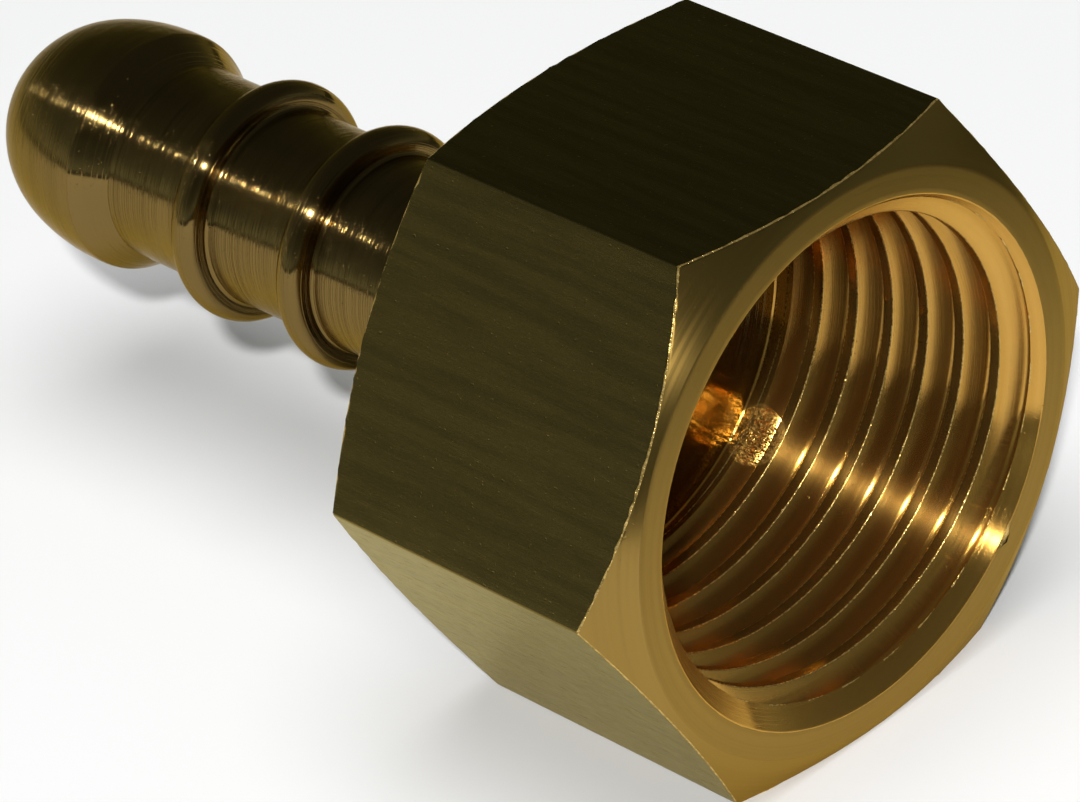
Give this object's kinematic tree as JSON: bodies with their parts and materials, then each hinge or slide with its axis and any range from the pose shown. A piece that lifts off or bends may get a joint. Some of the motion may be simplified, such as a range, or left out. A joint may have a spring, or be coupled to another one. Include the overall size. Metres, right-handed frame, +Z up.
{
  "type": "hose barb tail",
  "caption": "One-piece brass gas hose tail: a beaded barb with a rounded bulb for push-on hose, behind a hexagon socket with a parallel female pipe thread.",
  "frame": {"origin": "on the turning axis at the back face of the hexagon, where the tail begins", "axes": "+X along the turning axis and out of the threaded socket, so the tail points along -X; +Z up out of one flat of the hexagon, and the part lies on the opposite flat"},
  "size_m": [0.0445, 0.0278, 0.024],
  "materials": {
    "brass": "turned and drawn, uncoated"
  },
  "bodies": {
    "root": {"hose_tail": "brass"}
  },
  "joints": []
}
